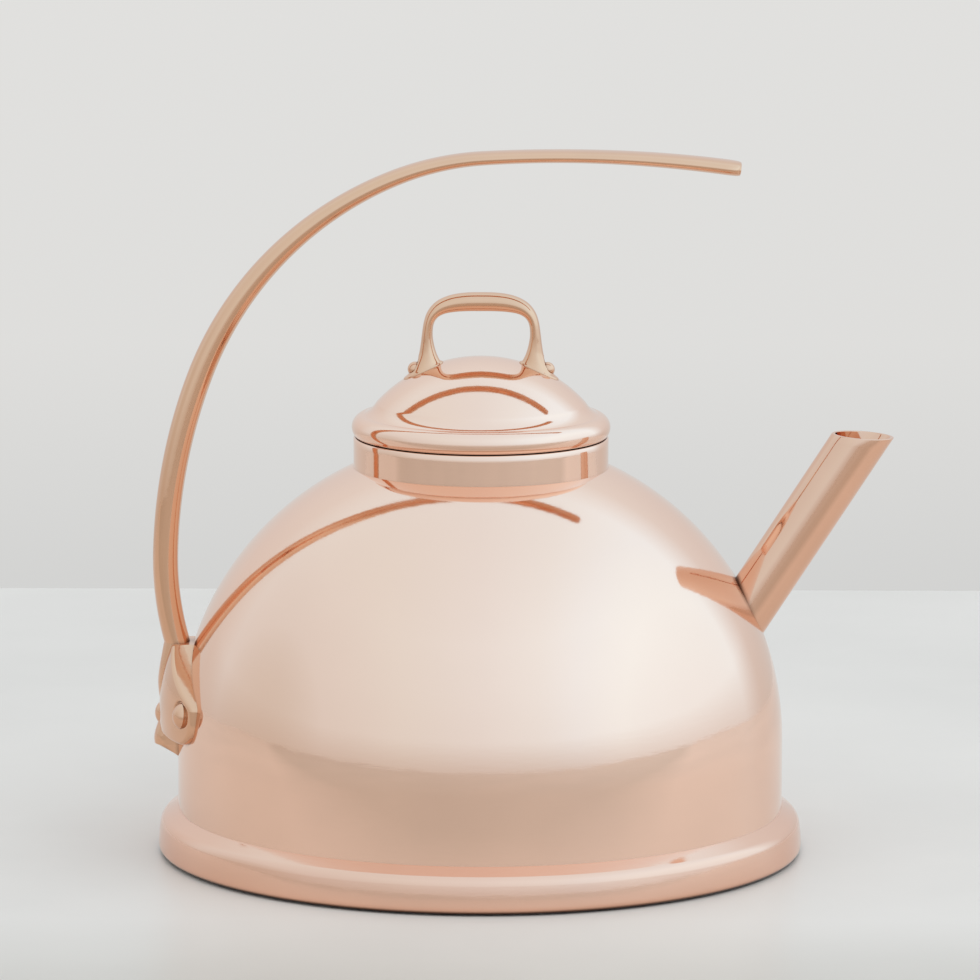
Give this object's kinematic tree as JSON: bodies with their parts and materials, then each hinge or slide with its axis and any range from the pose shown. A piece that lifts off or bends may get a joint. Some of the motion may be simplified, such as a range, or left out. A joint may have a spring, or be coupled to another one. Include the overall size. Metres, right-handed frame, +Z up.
{
  "type": "kettle",
  "caption": "Polished copper stovetop kettle: domed body on a flared foot, straight angled spout, lift-off round lid with a loop handle, and a tall cantilever bow handle riveted at one side.",
  "frame": {"origin": "centre of the foot on the plane that the kettle rests on", "axes": "+Z up along the body's axis, +X towards the spout, the bow handle rises from the -X side"},
  "size_m": [0.2441, 0.213, 0.2332],
  "materials": {
    "polished_copper": "mirror polish",
    "cast_handle": "mirror polish",
    "rivet_copper": "polished",
    "tinned_copper": "satin tin",
    "base_copper": "brushed"
  },
  "bodies": {
    "kettle": {"body_shell": "polished_copper", "foot_ring": "polished_copper", "base_plate": "base_copper", "neck_collar": "polished_copper", "spout_tube": "polished_copper", "handle_bow": "cast_handle", "handle_rivet_near": "rivet_copper", "handle_rivet_centre": "rivet_copper", "handle_rivet_far": "rivet_copper", "handle_washer_near": "rivet_copper", "handle_washer_centre": "rivet_copper", "handle_washer_far": "rivet_copper"},
    "lid": {"lid_dome": "polished_copper", "lid_skirt": "tinned_copper", "lid_handle": "cast_handle", "lid_rivet_left": "rivet_copper", "lid_rivet_right": "rivet_copper", "lid_washer_left": "rivet_copper", "lid_washer_right": "rivet_copper"}
  },
  "joints": [
    {"name": "lid_lift", "type": "slide", "parent": "kettle", "child": "lid", "axis": [0, 0, 1], "range_m": [0, 0.036]}
  ]
}
